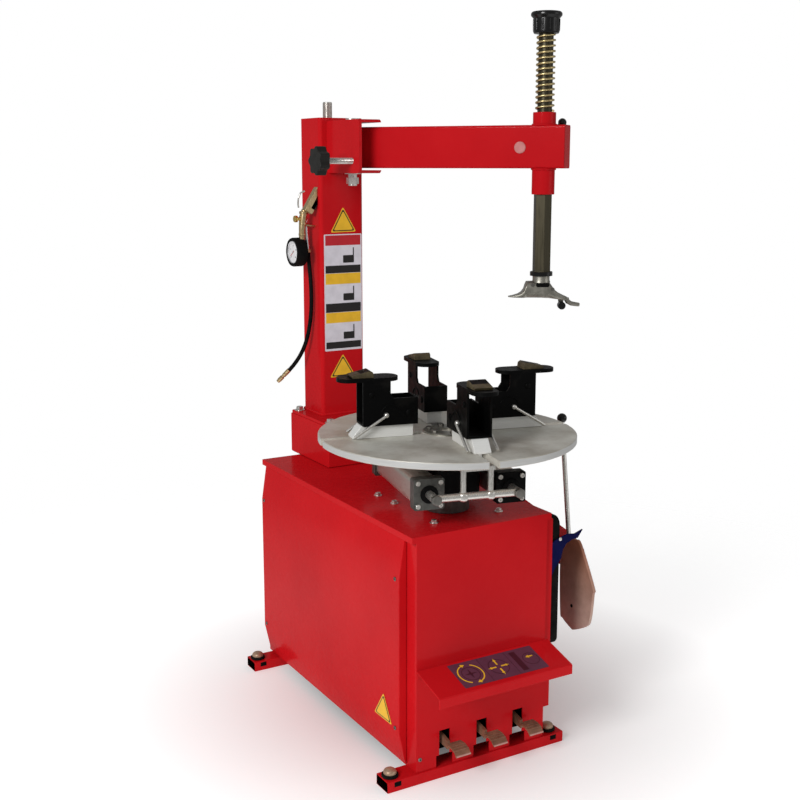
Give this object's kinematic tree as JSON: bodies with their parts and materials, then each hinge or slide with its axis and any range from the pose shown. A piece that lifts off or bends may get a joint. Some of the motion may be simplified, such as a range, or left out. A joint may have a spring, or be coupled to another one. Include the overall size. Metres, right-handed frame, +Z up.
{
  "type": "tire changer",
  "caption": "Swing-arm tire changer: steel cabinet on two feet, column and arm with a spring-lifted mounting shaft, round self-centring turntable, foot pedals and side bead breaker.",
  "frame": {"origin": "floor level, under the middle of the machine's bounding box without the free whip hose", "axes": "+Z up; -Y towards the pedals, where the operator stands; +X towards the bead breaker"},
  "size_m": [0.7506, 1.0359, 1.795],
  "materials": {
    "red_paint": "gloss enamel",
    "grey_paint": "satin enamel",
    "black_paint": "satin powder coat",
    "steel": "bright machined",
    "dark_steel": "blackened, oiled",
    "zinc": "yellow zinc plate",
    "cast_iron": "machined grey",
    "aluminium": "drawn satin",
    "rubber": "matte",
    "black_plastic": "gloss",
    "blue_plastic": "satin",
    "brass": "satin"
  },
  "bodies": {
    "machine": {"cabinet_shell": "red_paint", "left_cover": "red_paint", "right_cover": "red_paint", "front_foot": "red_paint", "rear_foot": "red_paint", "pedal_hood": "red_paint", "wheel_pad": "rubber", "blade_guard": "blue_plastic", "column_box": "red_paint", "column_base_plate": "red_paint", "column": "red_paint", "top_stud": "steel", "arm_bracket": "red_paint", "pivot_bolt": "steel", "pivot_nut": "steel", "gearbox": "cast_iron", "motor": "grey_paint", "drive_belt": "rubber", "pedal_shaft": "steel", "valve_block": "aluminium", "air_coupling": "aluminium", "breaker_cylinder": "grey_paint", "breaker_hinge": "red_paint"},
    "turntable": {"turntable_disc": "cast_iron", "turntable_spindle": "cast_iron"},
    "left_jaw_carriage": {"left_jaw_slide": "steel", "left_jaw": "black_paint"},
    "rear_jaw_carriage": {"rear_jaw_slide": "steel", "rear_jaw": "black_paint", "left_clamp_cylinder": "aluminium", "right_clamp_cylinder": "aluminium"},
    "right_jaw_carriage": {"right_jaw_slide": "steel", "right_jaw": "black_paint"},
    "front_jaw_carriage": {"front_jaw_slide": "steel", "front_jaw": "black_paint", "clamp_crossbar": "steel"},
    "gearbox_pulley": {"gearbox_pulley": "cast_iron"},
    "motor_pulley": {"motor_pulley": "cast_iron"},
    "rotation_pedal": {"rotation_pedal": "steel"},
    "clamp_pedal": {"clamp_pedal": "steel"},
    "breaker_pedal": {"breaker_pedal": "steel"},
    "swing_arm": {"swing_arm": "red_paint", "arm_sleeve": "red_paint", "shaft_spring": "zinc"},
    "mounting_shaft": {"hex_shaft": "dark_steel", "shaft_cap": "black_plastic", "mount_head": "cast_iron"},
    "head_roller": {"head_roller": "black_plastic"},
    "lock_lever": {"lock_lever": "black_plastic"},
    "stop_screw": {"stop_screw": "steel"},
    "stop_knob": {"stop_knob": "black_plastic"},
    "breaker_arm": {"breaker_arm": "red_paint", "breaker_grip": "steel"},
    "breaker_blade": {"breaker_blade": "steel"},
    "breaker_rod": {"breaker_rod": "steel"},
    "air_gun": {"inflator_gun": "brass", "pressure_gauge": "rubber", "inflator_hose": "rubber", "tyre_chuck": "brass"},
    "gun_trigger": {"gun_trigger": "steel"}
  },
  "joints": [
    {"name": "turntable_spin", "type": "hinge", "parent": "machine", "child": "turntable", "pos_m": [-0.06545, -0.20484, 0.78], "axis": [0, 0, 1], "continuous": true},
    {"name": "front_jaw_slide", "type": "slide", "parent": "turntable", "child": "front_jaw_carriage", "axis": [-0.225, -0.9744, 0], "range_m": [-0.012, 0.045]},
    {"name": "left_jaw_slide", "type": "slide", "parent": "turntable", "child": "left_jaw_carriage", "axis": [-0.9744, 0.225, 0], "range_m": [-0.012, 0.045]},
    {"name": "rear_jaw_slide", "type": "slide", "parent": "turntable", "child": "rear_jaw_carriage", "axis": [0.225, 0.9744, 0], "range_m": [-0.012, 0.045]},
    {"name": "right_jaw_slide", "type": "slide", "parent": "turntable", "child": "right_jaw_carriage", "axis": [0.9744, -0.225, 0], "range_m": [-0.012, 0.045]},
    {"name": "gearbox_pulley_spin", "type": "hinge", "parent": "machine", "child": "gearbox_pulley", "pos_m": [-0.06545, -0.08434, 0.5], "axis": [0, 1, 0], "continuous": true},
    {"name": "motor_pulley_spin", "type": "hinge", "parent": "machine", "child": "motor_pulley", "pos_m": [-0.09545, -0.08434, 0.262], "axis": [0, 1, 0], "continuous": true},
    {"name": "rotation_pedal_press", "type": "hinge", "parent": "machine", "child": "rotation_pedal", "pos_m": [-0.17045, -0.27434, 0.092], "axis": [1, 0, 0], "range_deg": [-4, 8], "stiffness_Nm_per_rad": 12},
    {"name": "clamp_pedal_press", "type": "hinge", "parent": "machine", "child": "clamp_pedal", "pos_m": [-0.06545, -0.27434, 0.092], "axis": [1, 0, 0], "range_deg": [0, 8], "stiffness_Nm_per_rad": 8, "springref_deg": -11.46},
    {"name": "breaker_pedal_press", "type": "hinge", "parent": "machine", "child": "breaker_pedal", "pos_m": [0.03955, -0.27434, 0.092], "axis": [1, 0, 0], "range_deg": [0, 8], "stiffness_Nm_per_rad": 8, "springref_deg": -11.46},
    {"name": "arm_swing", "type": "hinge", "parent": "machine", "child": "swing_arm", "pos_m": [-0.04095, 0.31666, 1.466], "axis": [0, 0, 1], "range_deg": [-34, 60]},
    {"name": "shaft_slide", "type": "slide", "parent": "swing_arm", "child": "mounting_shaft", "axis": [0, 0, 1], "range_m": [-0.095, 0], "stiffness_N_per_m": 800, "springref_m": 0.18, "deforming": ["shaft_spring"]},
    {"name": "head_roller_spin", "type": "hinge", "parent": "mounting_shaft", "child": "head_roller", "pos_m": [0.33212, -0.12799, 1.064], "axis": [0.5, 0.866, 0], "continuous": true},
    {"name": "lock_lever_turn", "type": "hinge", "parent": "swing_arm", "child": "lock_lever", "pos_m": [0.29146, -0.04546, 1.465], "axis": [0.788, 0.6157, 0], "range_deg": [-40, 0]},
    {"name": "stop_screw_slide", "type": "slide", "parent": "machine", "child": "stop_screw", "axis": [1, 0, 0], "range_m": [0, 0.036]},
    {"name": "stop_knob_turn", "type": "hinge", "parent": "stop_screw", "child": "stop_knob", "pos_m": [-0.17545, 0.24566, 1.432], "axis": [1, 0, 0], "range_deg": [0, 6480]},
    {"name": "breaker_swing", "type": "hinge", "parent": "machine", "child": "breaker_arm", "pos_m": [0.17955, 0.41766, 0.505], "axis": [0, 0, 1], "range_deg": [-6.5, 22]},
    {"name": "breaker_blade_turn", "type": "hinge", "parent": "breaker_arm", "child": "breaker_blade", "pos_m": [0.29055, -0.27634, 0.43], "axis": [0, 0, 1], "range_deg": [-4, 4]},
    {"name": "breaker_rod_slide", "type": "slide", "parent": "machine", "child": "breaker_rod", "axis": [1, 0, 0], "range_m": [-0.041, 0.128]},
    {"name": "air_gun_lift", "type": "slide", "parent": "machine", "child": "air_gun", "axis": [0, 0, 1], "range_m": [0, 0.05]},
    {"name": "gun_trigger_squeeze", "type": "hinge", "parent": "air_gun", "child": "gun_trigger", "pos_m": [-0.13645, 0.41766, 1.35], "axis": [0, -1, 0], "range_deg": [0, 6], "stiffness_Nm_per_rad": 0.4, "springref_deg": -8.59}
  ],
  "couplings": [
    {"joint": "left_jaw_slide", "follows": "front_jaw_slide", "ratio": 1},
    {"joint": "rear_jaw_slide", "follows": "front_jaw_slide", "ratio": 1},
    {"joint": "right_jaw_slide", "follows": "front_jaw_slide", "ratio": 1},
    {"joint": "gearbox_pulley_spin", "follows": "turntable_spin", "ratio": 36},
    {"joint": "motor_pulley_spin", "follows": "turntable_spin", "ratio": 90},
    {"joint": "stop_screw_slide", "follows": "stop_knob_turn", "m_per_rad": 0.0003183},
    {"joint": "breaker_rod_slide", "follows": "breaker_swing", "m_per_rad": 0.332}
  ]
}
